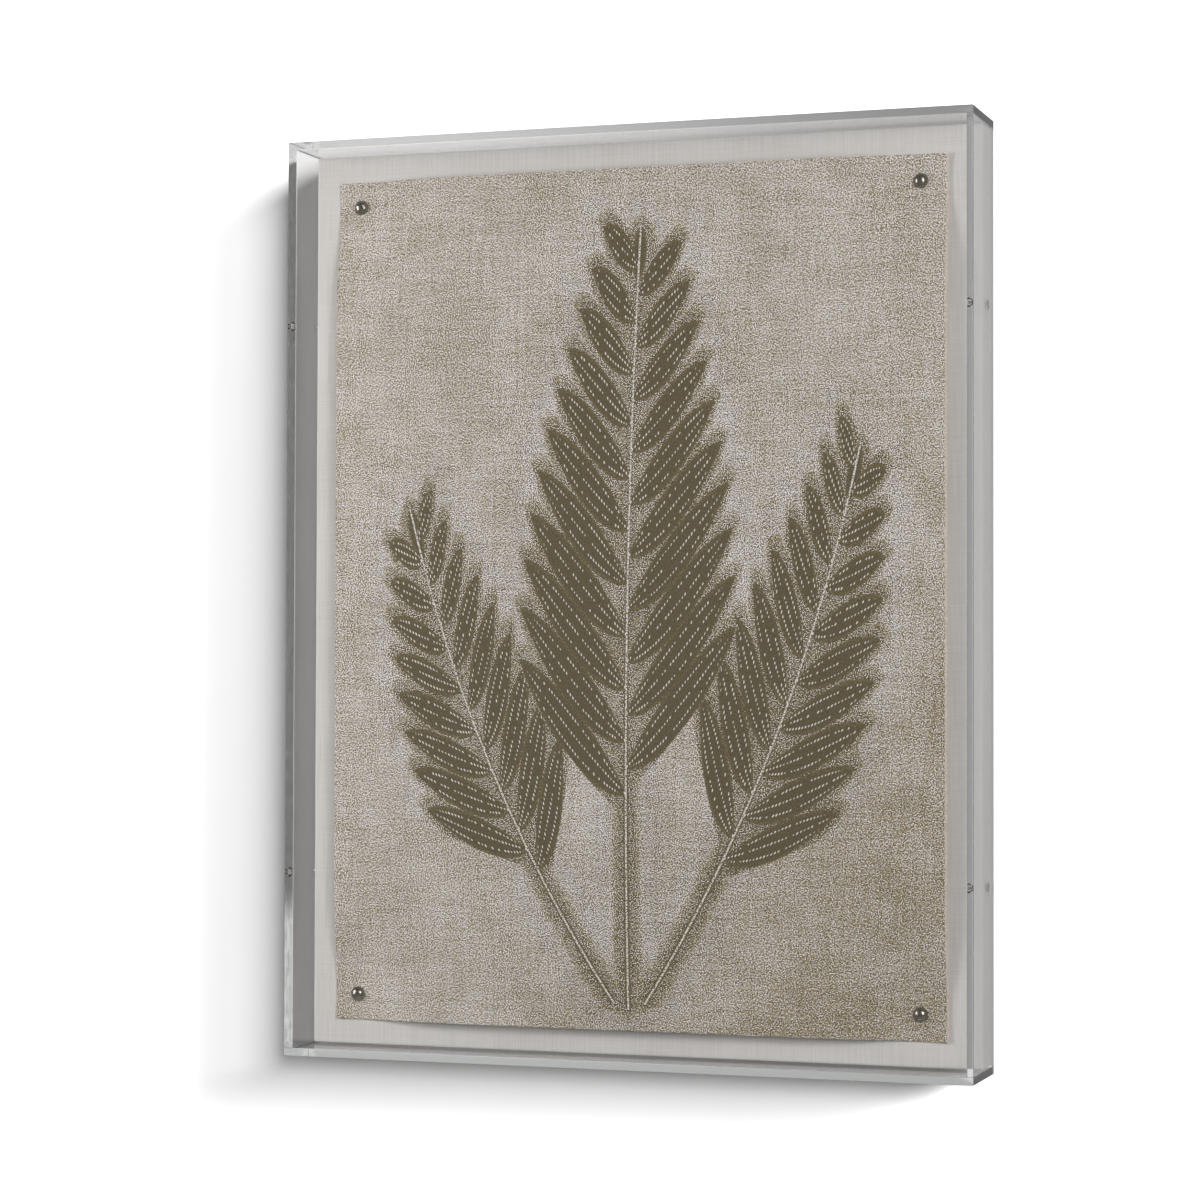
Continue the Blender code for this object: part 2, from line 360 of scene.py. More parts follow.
def linen():
    """Plain weave in unbleached white, with thick and thin threads both ways."""
    made, tree, shader = new_material("woven_linen")
    x, y, z = axes(tree)
    to_x, _, to_z = facing(tree)
    across = abs(to_x).over(0.7).blend(x, y)
    along = abs(to_z).over(0.7).blend(z, y)

    wander = clouds(tree, vector(tree, across, along), 60.0, 1.0) * THREAD
    u = across + wander
    v = along + wander
    warp = abs(u.wave(2 * THREAD))
    weft = abs(v.wave(2 * THREAD))
    over_under = (u.wave(2 * THREAD) * v.wave(2 * THREAD)).over(0.0)
    weave = over_under.blend(warp, weft)

    upright = clouds(tree, vector(tree, across, along * 0.018), 900.0, 3.0, 0.6)
    level = clouds(tree, vector(tree, across * 0.018, along), 900.0, 3.0, 0.6)
    patches = clouds(tree, vector(tree, across, along), 7.0, 3.0)
    slub = upright * 0.6 + level * 0.4
    shade = weave * 0.10 + slub * 0.62 + patches * 0.28
    colour = shade.ramp(0.30, 0.72).colours((0.655, 0.625, 0.59, 1.0), (0.84, 0.815, 0.785, 1.0))
    tree.links.new(colour, shader.inputs["Base Color"])
    shader.inputs["Roughness"].default_value = 0.92
    shader.inputs["Specular IOR Level"].default_value = 0.2
    shader.inputs["Sheen Weight"].default_value = 0.08
    shader.inputs["Sheen Roughness"].default_value = 0.5
    bump(tree, shader, weave * 0.5 + slub * 0.5, 0.00030)
    return made


def wood(name, lengthwise):
    """Planed softwood with its grain along one axis: 0 for X, 2 for Z."""
    made, tree, shader = new_material(name)
    place = axes(tree)
    along = place.pop(lengthwise)
    broad, deep = place
    bend = clouds(tree, vector(tree, along * 1.5, broad * 6.0, deep * 6.0), 2.0, 2.0) * 0.030
    rings = (broad * 0.8 + deep * 0.6 + bend).wave(0.0062)
    fibre = clouds(tree, vector(tree, along * 6.0, broad * 420.0, deep * 420.0), 2.0, 4.0, 0.6)
    pores = clouds(tree, vector(tree, along * 40.0, broad * 1200.0, deep * 1200.0), 1.0, 2.0)
    late = rings.ramp(0.1, 1.0)
    early = late.colours((0.66, 0.47, 0.27, 1.0), (0.46, 0.27, 0.12, 1.0))
    streak = fibre.ramp(0.35, 0.7)
    dark = streak.colours(early, (0.55, 0.36, 0.19, 1.0))
    fleck = pores.ramp(0.62, 0.75, 0.0, 0.5)
    tree.links.new(fleck.colours(dark, (0.32, 0.19, 0.09, 1.0)), shader.inputs["Base Color"])
    tree.links.new(fibre.ramp(0.3, 0.7, 0.55, 0.78).socket, shader.inputs["Roughness"])
    bump(tree, shader, fibre * 0.6 + late * 0.4, 0.00025)
    return made


def hardboard():
    """Brown pressed fibre board with the woven mark of the screen it was pressed on."""
    made, tree, shader = new_material("pressed_hardboard")
    x, _, z = axes(tree)
    screen = x.wave(0.0016) * z.wave(0.0016)
    fibres = clouds(tree, vector(tree, x, z * 0.35), 900.0, 4.0, 0.65)
    stain = clouds(tree, vector(tree, x, z), 9.0, 3.0)
    shade = fibres * 0.65 + stain * 0.18 + screen * 0.14
    colour = shade.ramp(0.25, 0.65).colours((0.13, 0.070, 0.035, 1.0), (0.30, 0.18, 0.095, 1.0))
    tree.links.new(colour, shader.inputs["Base Color"])
    tree.links.new(fibres.ramp(0.3, 0.7, 0.7, 0.9).socket, shader.inputs["Roughness"])
    bump(tree, shader, screen * 0.5 + fibres * 0.5, 0.0003)
    return made


def metal(name, colour, dull, shine):
    """Polished metal with faint turning marks and a little dulling in patches."""
    made, tree, shader = new_material(name)
    x, y, z = axes(tree)
    where = vector(tree, x, y, z)
    smears = clouds(tree, where, 600.0, 3.0)
    grain = clouds(tree, where, 4000.0, 2.0)
    tree.links.new(smears.ramp(0.3, 0.7).colours(dull, colour), shader.inputs["Base Color"])
    shader.inputs["Metallic"].default_value = 1.0
    rough = smears.ramp(0.3, 0.7, shine + 0.05, shine)
    tree.links.new(rough.socket, shader.inputs["Roughness"])
    bump(tree, shader, grain, 0.000002)
    return made


# The print: three leafy stems in stippled ink, the last in front

STEMS = (
    # foot x, foot z, lean, bend, length, pitch, leaf length, leaf half-width
    (-0.016, -0.352, math.radians(-35.0), 0.42, 0.465, 0.038, 0.100, 0.0138),
    (0.014, -0.352, math.radians(32.0), -0.36, 0.510, 0.041, 0.106, 0.0148),
    (-0.002, -0.356, math.radians(-1.5), 0.06, 0.680, 0.046, 0.138, 0.0178),
)
LEAF_ANGLE = math.radians(46)
LEAF_CURVE = 2.4
LEAF_START = 0.26
STEM_HALF_WIDTH = 0.0019
BUD_LENGTH = 0.050
BUD_HALF_WIDTH = 0.0065
DOT_PITCH = 0.0034
DOT_RADIUS = 0.0008
HALO = 0.0022


def oval(part):
    """Half-width of a leaf along its length, from 0 at both ends to 1."""
    return (part * (part * -1.0 + 1.0) * 4.0).power(0.8)


def stem_fields(tree, x, z, stem):
    """One stem at each point: the distance outside its ink, and the place in its nearest leaf."""
    foot_x, foot_z, lean, bend, length, pitch, leaf_length, leaf_width = stem
    from_x = x - foot_x
    from_z = z - foot_z
    run = from_x * math.sin(lean) + from_z * math.cos(lean)
    aside = from_x * math.cos(lean) - from_z * math.sin(lean) - run * run * bend
    away = abs(aside)

    # Each leaf's axis leaves the stem at an angle and curves up. Sides are half a pitch apart.
    half_step = aside.over(0.0) * (pitch / 2)
    level = run - half_step - away * (1 / math.tan(LEAF_ANGLE)) - away * away * LEAF_CURVE
    number = (level / pitch).rounded()
    off_axis = abs(level - number * pitch) * math.sin(LEAF_ANGLE)
    reach = away / math.sin(LEAF_ANGLE)

    # Leaves are shorter towards the tip, and there are none on the bare foot.
    height = (number * pitch + half_step) / length
    growing = height.over(LEAF_START) * (height * -1.0).over(-0.97)
    taper = height.ramp(0.30, 1.30, 1.0, 0.08)
    long = taper * growing * leaf_length + 0.0001
    part = (reach / long).least(1.0)
    half_width = oval(part) * (taper * 0.55 + 0.45) * growing * leaf_width
    absent = (growing * -1.0 + 1.0) * 0.05
    blade = off_axis - half_width + (reach - long).most(0.0) + absent

    # The stem thins upwards and ends in a bud.
    bud = ((run - (length - BUD_LENGTH)) / BUD_LENGTH).most(0.0).least(1.0)
    thick = run.ramp(0.0, length, 1.4, 0.35) * STEM_HALF_WIDTH
    past_end = (abs(run - length / 2) - length / 2).most(0.0)
    stalk = away - thick.most(oval(bud) * BUD_HALF_WIDTH) + past_end
    return {
        "away": blade.least(stalk),
        "stalk": stalk,
        "reach": reach,
        "off_axis": off_axis,
        "half_width": half_width,
        "part": part,
        "number": number + half_step * (0.5 / pitch),
        "aside": away,
    }


def dots(tree, along, across, seed, share):
    """A row of round dots along a line, with a share of them left out at random."""
    cell = (along / DOT_PITCH).floored()
    lone = chance(tree, vector(tree, cell, seed, 0.0))
    step = along - (cell + 0.5) * DOT_PITCH
    away = (step * step + across * across).power(0.5)
    size = lone.ramp(0.0, 1.0, 0.7, 1.15) * DOT_RADIUS
    return (away / size).ramp(0.75, 1.15, 1.0, 0.0) * lone.over(share)


def white_rows(tree, leaf, grain, hue):
    """A leaf's rows of white dots, down its middle and inside each edge, and the pale stem."""
    ripple = (hue - 0.5) * 0.0009
    middle = dots(tree, leaf["reach"], leaf["off_axis"] + ripple, leaf["number"], 0.12)
    beside = leaf["off_axis"] - leaf["half_width"] * 0.58 + ripple
    side = dots(tree, leaf["reach"] + 0.0017, beside, leaf["number"] + 0.5, 0.22)
    side_end = leaf["part"].ramp(0.78, 0.90, 1.0, 0.0) * leaf["part"].ramp(0.05, 0.12)
    middle_end = leaf["part"].ramp(0.88, 0.95, 1.0, 0.0)
    spine = leaf["aside"].ramp(0.0005, 0.0012, 1.0, 0.0) * grain.ramp(0.42, 0.50)
    spine = spine * leaf["stalk"].ramp(-0.0002, 0.0002, 1.0, 0.0)
    return (middle * middle_end).most(side * side_end).most(spine)


def botanical_print():
    """Stippled olive ink on grey paper: leafy stems with pale halos and rows of white dots."""
    made, tree, shader = new_material("botanical_print")
    x, y, z = axes(tree)
    flat = vector(tree, x, z)
    grain = clouds(tree, flat, 800.0, 1.0, 0.5)
    fine = clouds(tree, vector(tree, x + 3.0, z + 5.0), 1050.0, 0.0, 0.5)
    hue = clouds(tree, vector(tree, x + 7.0, z + 1.0), 520.0, 1.0, 0.5)
    drift = clouds(tree, vector(tree, x + 2.0, z + 9.0), 15.0, 4.0, 0.65)
    upright = clouds(tree, vector(tree, x, z * 0.08), 240.0, 2.0, 0.6)
    level = clouds(tree, vector(tree, x * 0.08, z), 240.0, 2.0, 0.6)
    wobble = (grain - 0.5) * 0.0018
    stems = [stem_fields(tree, x, z, stem) for stem in STEMS]
    away = stems[0]["away"]
    for leaf in stems[1:]:
        away = away.least(leaf["away"])

    # Ground: grey paper under olive stipple, denser and golden round the leaves
    corner = (x * 0.6 - z * 0.5).ramp(0.02, 0.34, 0.0, 0.040)
    threads = (upright + level - 1.0) * 0.085
    density = drift.ramp(0.3, 0.7, -0.022, 0.022) + corner + threads
    glow = away.ramp(0.001, 0.013, 0.24, 0.0)
    pale = away.ramp(0.008, 0.016, 0.0, 1.0) * away.ramp(0.018, 0.036, 1.0, 0.0)
    olive = (grain + density + glow - pale * 0.04).ramp(0.44, 0.54)
    ground = olive.colours(srgb(218, 210, 208), srgb(141, 127, 78))
    gold = hue.ramp(0.45, 0.65)
    ground = (gold * olive * 0.7).colours(ground, srgb(160, 141, 74))
    speck = (fine + density * 0.8 + glow * 0.5 + pale * 0.04).ramp(0.58, 0.63)
    ground = (speck * 0.95).colours(ground, srgb(58, 48, 18))
    bright = (fine + density * 0.8).ramp(0.42, 0.36)
    ground = (bright * 0.85).colours(ground, srgb(250, 246, 250))

    # Ink of the leaves and stems
    ink_shade = (grain * 0.6 + hue * 0.4).ramp(0.3, 0.7)
    ink = ink_shade.colours(srgb(72, 62, 33), srgb(98, 86, 53))
    white = srgb(232, 227, 218)
    printed = ground
    covered = None
    for leaf in stems:
        edge = leaf["away"] + wobble
        halo = edge.ramp(HALO * 0.8, HALO, 1.0, 0.0)
        inside = edge.ramp(-0.0004, 0.0005, 1.0, 0.0)
        rim = edge.ramp(-0.0035, -0.0005) * grain.ramp(0.5, 0.6) * 0.5
        own = rim.colours(ink, srgb(150, 134, 74))
        own = white_rows(tree, leaf, grain, hue).colours(own, white)
        printed = inside.colours(halo.colours(printed, ground), own)
        covered = inside if covered is None else covered.most(inside)

    # The bare strip at the right, the cut edges and the back are plain paper.
    fibres = clouds(tree, vector(tree, x, y, z), 500.0, 3.0)
    bare = fibres.ramp(0.3, 0.7).colours(srgb(186, 174, 156), srgb(212, 202, 188))
    _, to_y, _ = facing(tree)
    bare_edge = SHEET_HALF_WIDTH - BARE_STRIP
    printable = to_y.ramp(-0.6, -0.8) * x.ramp(bare_edge - 0.0002, bare_edge, 1.0, 0.0)
    tree.links.new(printable.colours(bare, printed), shader.inputs["Base Color"])
    tree.links.new(covered.blend(0.82, 0.62).socket, shader.inputs["Roughness"])
    shader.inputs["Specular IOR Level"].default_value = 0.25
    bump(tree, shader, fibres, 0.00008)
    return made


# Shapes

def finish_piece(piece, slot, material, *nodes):
    """Gives a piece its material and puts it in the place of its nodes. The slot is not used."""
    piece.data.materials.clear()
    piece.data.materials.append(material)
    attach(piece, BODY)
    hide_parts(*nodes)


def from_bmesh(name, work):
    """An object made of a finished bmesh."""
    mesh = bpy.data.meshes.new(name)
    work.to_mesh(mesh)
    work.free()
    made = bpy.data.objects.new(name, mesh)
    bpy.context.scene.collection.objects.link(made)
    return made


def block(name, low, high):
    """A block between two corners."""
    work = bmesh.new()
    size = [b - a for a, b in zip(low, high)]
    centre = [(a + b) / 2 for a, b in zip(low, high)]
    place = Matrix.Translation(centre) @ Matrix.Diagonal((*size, 1.0))
    bmesh.ops.create_cube(work, size=1.0, matrix=place)
    return from_bmesh(name, work)


def turned(name, profile, turn, steps=ROUND_STEPS):
    """A closed profile of (radius, height), from top to bottom, turned and then placed."""
    work = bmesh.new()
    points = [work.verts.new((radius, 0.0, height)) for radius, height in profile]
    edges = [work.edges.new(pair) for pair in zip(points, points[1:])]
    bmesh.ops.spin(
        work,
        geom=points + edges,
        cent=(0.0, 0.0, 0.0),
        axis=(0.0, 0.0, 1.0),
        angle=2 * math.pi,
        steps=steps,
        use_merge=True,
    )
    bmesh.ops.remove_doubles(work, verts=work.verts, dist=0.000005)
    bmesh.ops.recalc_face_normals(work, faces=work.faces)
    work.transform(turn)
    return from_bmesh(name, work)


def settle(piece):
    """Bakes a piece's modifiers into its mesh."""
    graph = bpy.context.evaluated_depsgraph_get()
    mesh = bpy.data.meshes.new_from_object(piece.evaluated_get(graph))
    piece.modifiers.clear()
    piece.data = mesh


def cut(piece, cutters):
    """Takes cutters out of a piece, one after another, and removes them."""
    for cutter in cutters:
        boolean = piece.modifiers.new("cut", "BOOLEAN")
        boolean.operation = "DIFFERENCE"
        boolean.solver = "EXACT"
        boolean.object = cutter
    settle(piece)
    for cutter in cutters:
        bpy.data.objects.remove(cutter, do_unlink=True)


def smooth_round(piece, angle):
    """Smooth shading, with edges sharper than the angle kept sharp."""
    piece.data.shade_smooth()
    piece.data.set_sharp_from_angle(angle=math.radians(angle))


def screw_place(node):
    """Where a screw's head meets the outer face, its side, and the turn that points it out."""
    centre = centre_of(node)
    side = 1 if centre.x > 0 else -1
    place = Matrix.Translation((side * HALF_WIDTH, centre.y, centre.z))
    return side, place @ Matrix.Rotation(side * math.pi / 2, 4, "Y")


def head_radius(node):
    """The radius of a turned node's head, from its box."""
    low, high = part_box(node)
    return (high[2] - low[2]) / 2


def make_clear_box():
    """The five glued sheets as one clear piece, open at the back, with its screw holes."""
    box = block(
        "clear_box", (-HALF_WIDTH, FRONT, -HALF_HEIGHT), (HALF_WIDTH, BACK, HALF_HEIGHT)
    )
    eased = box.modifiers.new("eased edges", "BEVEL")
    eased.width = ARRIS
    eased.segments = 2
    settle(box)
    inner = block(
        "hollow",
        (-HALF_WIDTH + ACRYLIC, FRONT + ACRYLIC, -HALF_HEIGHT + ACRYLIC),
        (HALF_WIDTH - ACRYLIC, BACK + ACRYLIC, HALF_HEIGHT - ACRYLIC),
    )
    fillet = inner.modifiers.new("glue fillet", "BEVEL")
    fillet.width = GLUE_FILLET
    fillet.segments = 3
    settle(inner)
    cutters = [inner]
    for node in SCREW_NAMES:
        _, place = screw_place(node)
        seat = head_radius(node) + SEAT_CLEARANCE
        throat = SCREW_BODY + SEAT_CLEARANCE
        profile = [
            (0.0, ACRYLIC),
            (seat, ACRYLIC),
            (seat, -SEAT_CLEARANCE),
            (throat, throat - seat - SEAT_CLEARANCE),
            (throat, -2 * ACRYLIC),
            (0.0, -2 * ACRYLIC),
        ]
        cutters.append(turned(f"seat_{node}", profile, place, 48))
    cut(box, cutters)
    finish_piece(
        box, "acrylic", clear_acrylic(),
        "front_pane", "top_wall", "bottom_wall", "left_wall", "right_wall",
    )
    return box


def make_linen():
    """Linen over the panel's front and sides, turned onto the back, with slack in its edges."""
    low, high = WRAP
    work = bmesh.new()
    size = [b - a for a, b in zip(low, high)]
    centre = Vector([(a + b) / 2 for a, b in zip(low, high)])
    place = Matrix.Translation(centre) @ Matrix.Diagonal((*size, 1.0))
    bmesh.ops.create_cube(work, size=1.0, matrix=place)
    bmesh.ops.bevel(
        work, geom=list(work.edges), offset=CLOTH_CORNER, segments=4, profile=0.5, affect="EDGES"
    )
    back = max(work.faces, key=lambda face: face.normal.y * face.calc_area())
    bmesh.ops.inset_individual(work, faces=[back], thickness=CLOTH_TURN)
    bmesh.ops.delete(work, geom=[back], context="FACES")
    for axis in (0, 2):
        reach = high[axis] - 2 * CLOTH_CORNER
        count = int(2 * reach / CLOTH_STEP)
        for step in range(count + 1):
            point = Vector()
            point[axis] = -reach + 2 * reach * step / count
            normal = Vector()
            normal[axis] = 1.0
            bmesh.ops.bisect_plane(
                work, geom=work.verts[:] + work.edges[:] + work.faces[:],
                plane_co=point, plane_no=normal,
            )
    for part in CLOTH_SIDE_CUTS:
        bmesh.ops.bisect_plane(
            work, geom=work.verts[:] + work.edges[:] + work.faces[:],
            plane_co=(0.0, low[1] * part, 0.0), plane_no=(0.0, 1.0, 0.0),
        )
    slacken(work, low, high)
    cloth = from_bmesh("stretched_linen", work)
    thick = cloth.modifiers.new("cloth thickness", "SOLIDIFY")
    thick.thickness = CLOTH
    thick.offset = -1.0
    settle(cloth)
    smooth_round(cloth, 60)
    finish_piece(cloth, "linen", linen(), "linen_wrap")
    return cloth


def slacken(work, low, high):
    """Lets the cloth lie a little uneven: faint swells in front, and a wavy front edge."""
    for vertex in work.verts:
        point = vertex.co
        swell = noise.noise(
            Vector((point.x * SWELL_PITCH, SWELL_SLICE, point.z * SWELL_PITCH))
        )
        ripple = noise.noise(
            Vector((point.x * EDGE_PITCH, point.y * EDGE_PITCH_DEEP, point.z * EDGE_PITCH))
        )
        inward = SWELL_DEPTH * (0.5 + 0.5 * swell)
        if point.y < low[1] + CLOTH_CORNER:
            point.y += inward
        for axis in (0, 2):
            if abs(point[axis]) > high[axis] - CLOTH_CORNER:
                pull = EDGE_PULL * (0.5 + 0.5 * ripple)
                point[axis] -= math.copysign(pull, point[axis])


def lift_at(x, z, pins):
    """How far the paper stands off the linen: nothing at a pin, LIFT well away from all."""
    lift = LIFT
    for pin in pins:
        away = max(0.0, math.hypot(x - pin.x, z - pin.z) - LIFT_START)
        lift *= 1.0 - math.exp(-((away / LIFT_REACH) ** 2))
    return lift


def make_print():
    """The printed sheet, bowed forward between its pins."""
    across = int(2 * SHEET_HALF_WIDTH / PAPER_STEP)
    up = int(2 * SHEET_HALF_HEIGHT / PAPER_STEP)
    back = SHEET[1][1]
    pins = [centre_of(node) for node in PIN_NAMES]
    work = bmesh.new()
    bmesh.ops.create_grid(work, x_segments=across, y_segments=up, size=1.0)
    for vertex in work.verts:
        x = vertex.co.x * SHEET_HALF_WIDTH
        z = vertex.co.y * SHEET_HALF_HEIGHT + SHEET_MIDDLE
        vertex.co = (x, back - lift_at(x, z, pins), z)
    for face in work.faces:
        face.normal_update()
    if sum(face.normal.y for face in work.faces) > 0:
        bmesh.ops.reverse_faces(work, faces=work.faces)
    sheet = from_bmesh("botanical_sheet", work)
    thick = sheet.modifiers.new("paper thickness", "SOLIDIFY")
    thick.thickness = PAPER
    thick.offset = 1.0
    settle(sheet)
    smooth_round(sheet, 40)
    finish_piece(sheet, "paper", botanical_print(), "print_sheet")
    return sheet


def dome(radius, height, count):
    """Points of a spherical cap from its crown to its rim, as (radius, height)."""
    ball = (radius**2 + height**2) / (2 * height)
    widest = math.asin(radius / ball)
    points = []
    for step in range(count + 1):
        angle = widest * step / count
        points.append((ball * math.sin(angle), ball * math.cos(angle) - ball + height))
    return points


def make_pins():
    """Dome-headed nails: a rolled rim, a hollow underside and a tapered shank."""
    grey = metal("polished_dark_nickel", (0.27, 0.25, 0.205, 1.0), (0.20, 0.18, 0.145, 1.0), 0.25)
    for node in PIN_NAMES:
        low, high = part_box(node)
        radius = head_radius(node)
        seat = low[1] + PIN_CROWN + PIN_RIM
        shank = high[1] - seat
        profile = [(r, h + PIN_RIM) for r, h in dome(radius - 0.0001, PIN_CROWN, DOME_STEPS)]
        profile += [
            (radius, PIN_RIM * 0.7),
            (radius, PIN_RIM * 0.3),
            (radius - PIN_RIM * 0.4, 0.0),
            (radius - PIN_RIM * 1.6, 0.0),
            (radius - PIN_RIM * 3.0, PIN_RIM),
            (PIN_SHANK, PIN_RIM),
            (PIN_SHANK, PIN_TIP - shank),
            (0.0, -shank),
        ]
        centre = centre_of(node)
        place = Matrix.Translation((centre.x, seat, centre.z))
        nail = turned(f"dome_{node}", profile, place @ Matrix.Rotation(math.pi / 2, 4, "X"))
        smooth_round(nail, 35)
        finish_piece(nail, "pin_metal", grey, node)


def make_screws():
    """Oval-head screws with a tapered cross recess."""
    steel = metal("bright_screw_steel", (0.66, 0.65, 0.62, 1.0), (0.48, 0.47, 0.45, 1.0), 0.24)
    for node in SCREW_NAMES:
        side, place = screw_place(node)
        low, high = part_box(node)
        radius = head_radius(node)
        outer = high[0] if side > 0 else -low[0]
        inner = low[0] if side > 0 else -high[0]
        crown = outer - HALF_WIDTH
        length = HALF_WIDTH - inner
        profile = dome(radius, crown, DOME_STEPS)
        profile += [(radius, -0.0001), (SCREW_BODY, SCREW_BODY - radius - 0.0001)]
        profile += [(SCREW_BODY, SCREW_TIP - length), (0.0, -length)]
        screw = turned(f"oval_{node}", profile, place)
        cutters = []
        for name, turn in (("a", 0.0), ("b", math.pi / 2)):
            blade = block(
                f"blade_{name}",
                (-RECESS_REACH, -RECESS_HALF_WIDTH, -RECESS_DEPTH),
                (RECESS_REACH, RECESS_HALF_WIDTH, RECESS_REACH),
            )
            for vertex in blade.data.vertices:
                if vertex.co.z < 0:
                    vertex.co.x *= RECESS_FLOOR_REACH
                    vertex.co.y *= RECESS_FLOOR_WIDTH
            blade.data.transform(place @ Matrix.Rotation(turn, 4, "Z"))
            cutters.append(blade)
        cut(screw, cutters)
        smooth_round(screw, 30)
        finish_piece(screw, "screw_metal", steel, node)


def dress_panel():
    """Finishes for the board and bars, which keep their own shapes."""
    upright = wood("pine_upright", 2)
    level = wood("pine_level", 0)
    for node, finish in (
        ("backing_board", hardboard()),
        ("left_strainer_bar", upright),
        ("right_strainer_bar", upright),
        ("top_strainer_bar", level),
        ("bottom_strainer_bar", level),
        ("cross_bar", level),
    ):
        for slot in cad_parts[node].material_slots:
            slot.material = finish


def make_camera():
    """The photograph's viewpoint."""
    data = bpy.data.cameras.new("camera")
    data.lens = CAMERA_LENS
    data.sensor_width = SENSOR
    camera = bpy.data.objects.new("camera", data)
    turn = (
        Matrix.Rotation(CAMERA_YAW, 4, "Z")
        @ Matrix.Rotation(math.pi / 2 + CAMERA_PITCH, 4, "X")
        @ Matrix.Rotation(CAMERA_ROLL, 4, "Z")
    )
    camera.matrix_world = Matrix.Translation(CAMERA_PLACE) @ turn
    bpy.context.scene.collection.objects.link(camera)
    bpy.context.scene.camera = camera


def softbox(name, azimuth, elevation, distance, width, height, power):
    """A soft lamp that looks at the frame's middle. Azimuth 0 is in front, 90 to the right."""
    data = bpy.data.lights.new(name, "AREA")
    data.shape = "RECTANGLE"
    data.size = width
    data.size_y = height
    data.energy = power
    lamp = bpy.data.objects.new(name, data)
    a, e = math.radians(azimuth), math.radians(elevation)
    out = Vector((math.sin(a) * math.cos(e), -math.cos(a) * math.cos(e), math.sin(e)))
    lamp.matrix_world = (
        Matrix.Translation(out * distance) @ out.to_track_quat("Z", "Y").to_matrix().to_4x4()
    )
    lamp.visible_camera = False
    lamp.visible_transmission = False
    bpy.context.scene.collection.objects.link(lamp)
    return lamp


def plain_surface(name, colour):
    """A pale matt surface with a faint mottle. Returns it, its tree, shader and colour."""
    made, tree, shader = new_material(name)
    x, y, z = axes(tree)
    mottle = clouds(tree, vector(tree, x, y, z), 3.0, 3.0)
    darker = tuple(part * 0.985 for part in colour[:3]) + (1.0,)
    pale = mottle.colours(darker, colour)
    tree.links.new(pale, shader.inputs["Base Color"])
    shader.inputs["Roughness"].default_value = 1.0
    shader.inputs["Specular IOR Level"].default_value = 0.0
    return made, tree, shader, pale


def rim_glow(tree):
    """Painted light: a glow on the wall behind the left and bottom back rims, for the light real
    sheets carry.
    """
    x, _, z = axes(tree)
    wide = HALF_WIDTH - ACRYLIC - RIM_INSET
    tall = HALF_HEIGHT - ACRYLIC - RIM_INSET
    mottle = clouds(tree, vector(tree, x * 4.0, z), 90.0, 3.0, 0.6).ramp(0.35, 0.65, 0.75, 1.25)
    left = z.ramp(LEFT_RIM_TURN + 0.04, LEFT_RIM_TURN, LEFT_RIM_GLOW, LEFT_RIM_GLOW_LOW) * mottle
    side = left * (x * -1.0).over(wide)
    bottom = (z * -1.0).over(tall) * BOTTOM_RIM_GLOW
    inside = (abs(x) - HALF_WIDTH).most(abs(z) - HALF_HEIGHT).ramp(0.001, 0.0015, 1.0, 0.0)
    return side.most(bottom) * inside


def wall_surface():
    """White to the eye and seen from the front only. In the acrylic: painted shade and a painted
    glow.
    """
    made, tree, shader, pale = plain_surface("wall_white", (0.80, 0.80, 0.80, 1.0))
    path = tree.nodes.new("ShaderNodeLightPath")
    direct = Value(tree, path.outputs["Is Camera Ray"])
    # Painted shade: to all rays but the camera's the wall is grey, darker towards the right
    across = axes(tree)[0].ramp(-HALF_WIDTH, HALF_WIDTH)
    shade_in_glass = across.colours(WALL_SHADE_IN_GLASS_LEFT, WALL_SHADE_IN_GLASS_RIGHT)
    tree.links.new(direct.colours(shade_in_glass, pale), shader.inputs["Base Color"])
    diffuse = Value(tree, path.outputs["Is Diffuse Ray"])
    # Painted light: the rim glow, for all rays but camera and diffuse ones
    glow = (direct.most(diffuse) * -1.0 + 1.0) * rim_glow(tree)
    shader.inputs["Emission Color"].default_value = RIM_GLOW_COLOUR
    tree.links.new(glow.socket, shader.inputs["Emission Strength"])
    made.cycles.emission_sampling = "NONE"
    side = tree.nodes.new("ShaderNodeNewGeometry")
    clear = tree.nodes.new("ShaderNodeBsdfTransparent")
    mix = tree.nodes.new("ShaderNodeMixShader")
    tree.links.new(side.outputs["Backfacing"], mix.inputs[0])
    tree.links.new(shader.outputs[0], mix.inputs[1])
    tree.links.new(clear.outputs[0], mix.inputs[2])
    tree.links.new(mix.outputs[0], tree.nodes["Material Output"].inputs["Surface"])
    return made


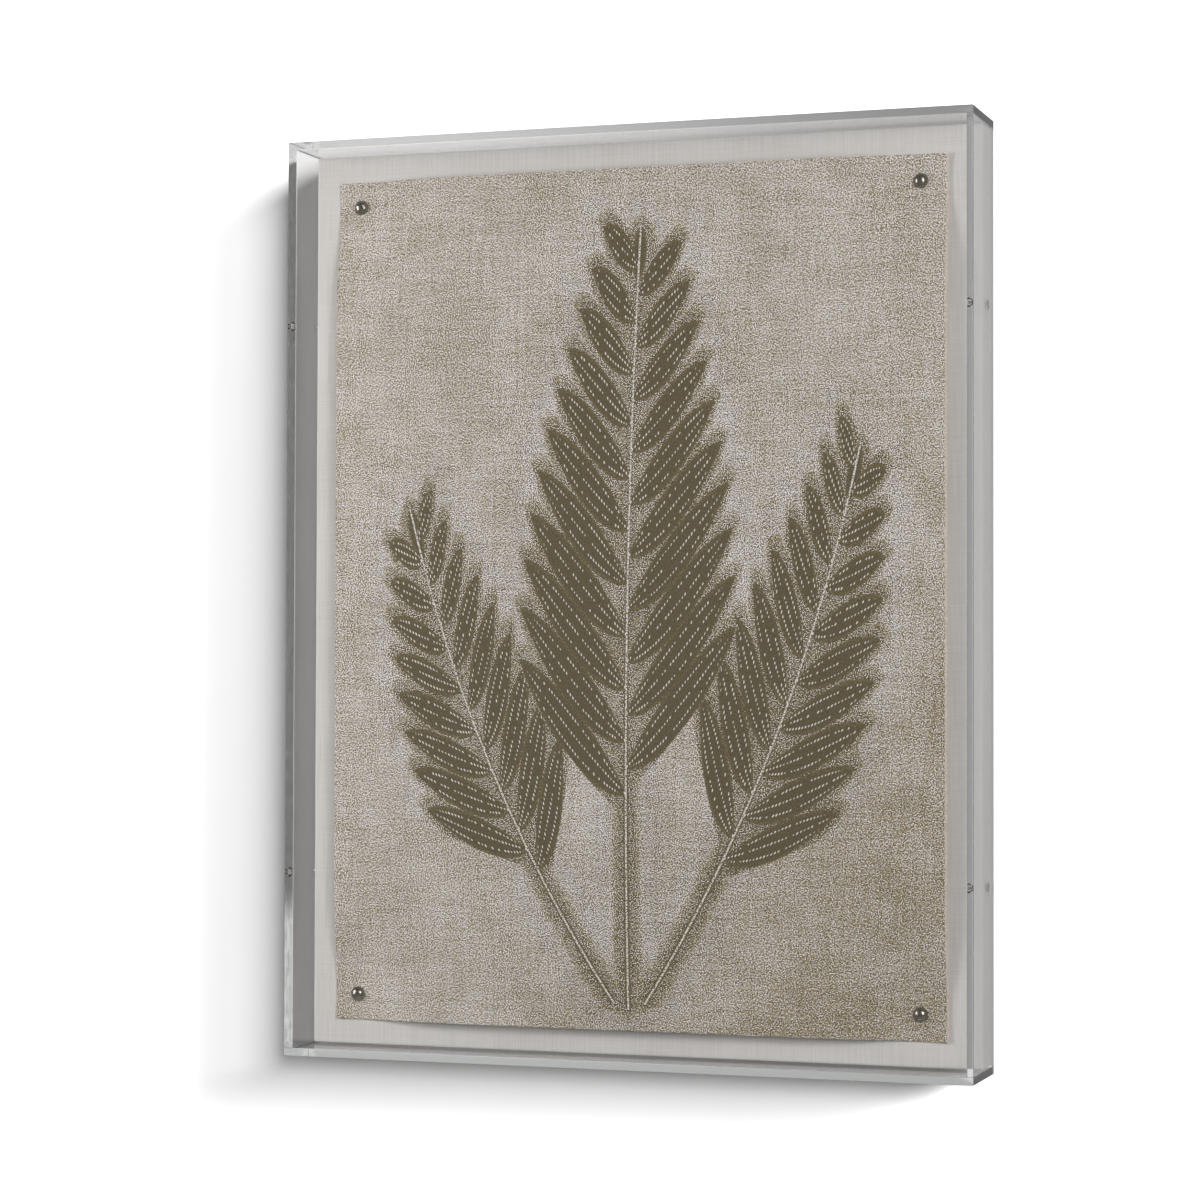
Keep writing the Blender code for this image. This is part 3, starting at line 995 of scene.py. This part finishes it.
def make_stage():
    """A white wall, open behind the panel, and a pale floor. Returns the wall."""
    inner_x = HALF_WIDTH - WALL_HOLE_MARGIN
    inner_z = HALF_HEIGHT - WALL_HOLE_MARGIN
    xs = (-WALL_REACH, -inner_x, inner_x, WALL_REACH)
    zs = (FLOOR_LEVEL, -inner_z, inner_z, WALL_TOP)
    work = bmesh.new()
    rows = [[work.verts.new((x, BACK + WALL_GAP, z)) for x in xs] for z in zs]
    for row in range(3):
        for column in range(3):
            if (row, column) == (1, 1):
                continue
            work.faces.new(
                (
                    rows[row][column],
                    rows[row][column + 1],
                    rows[row + 1][column + 1],
                    rows[row + 1][column],
                )
            )
    bmesh.ops.recalc_face_normals(work, faces=work.faces)
    if sum(face.normal.y for face in work.faces) > 0:
        bmesh.ops.reverse_faces(work, faces=work.faces)
    wall = from_bmesh("wall", work)
    wall.data.materials.append(wall_surface())

    work = bmesh.new()
    bmesh.ops.create_grid(work, x_segments=1, y_segments=1, size=FLOOR_REACH)
    floor = from_bmesh("floor", work)
    floor.location = (0.0, 0.0, FLOOR_LEVEL)
    floor.data.materials.append(plain_surface("floor_pale", (0.80, 0.80, 0.79, 1.0))[0])
    return wall


def share_light(lamp, pieces, state):
    """INCLUDE keeps a lamp's light to the pieces, and EXCLUDE keeps it off them."""
    group = bpy.data.collections.new(f"{lamp.name}_receivers")
    for piece in pieces:
        group.objects.link(piece)
    for entry in group.collection_objects:
        entry.light_linking.link_state = state
    lamp.light_linking.receiver_collection = group


def make_light(wall, clear_box):
    """An even pale surround, soft lamps for the frame, and the wall's own lamps."""
    world = bpy.data.worlds.new("studio")
    world.use_nodes = True
    tree = world.node_tree
    surround = tree.nodes["Background"]
    surround.inputs["Color"].default_value = (1.0, 1.0, 1.0, 1.0)
    path = tree.nodes.new("ShaderNodeLightPath")
    deep = Value(tree, path.outputs["Transmission Depth"]).over(ROOM_IN_GLASS_DEPTH)
    clear = Value(tree, path.outputs["Is Singular Ray"]) * (deep * -1.0 + 1.0)
    plug(tree, surround.inputs["Strength"], clear.blend(ROOM_LIGHT, ROOM_IN_GLASS))
    world.cycles.sampling_method = "NONE"
    bpy.context.scene.world = world
    for lamp in WALL_LAMPS:
        share_light(softbox(*lamp), [wall], "INCLUDE")
    for lamp in FRAME_LAMPS:
        share_light(softbox(*lamp), [wall, clear_box], "EXCLUDE")
    softbox(*BACK_LAMP)
    bpy.context.scene.view_settings.view_transform = "Standard"


make_camera()
clear_box = make_clear_box()
make_linen()
make_print()
make_pins()
make_screws()
dress_panel()
make_light(make_stage(), clear_box)
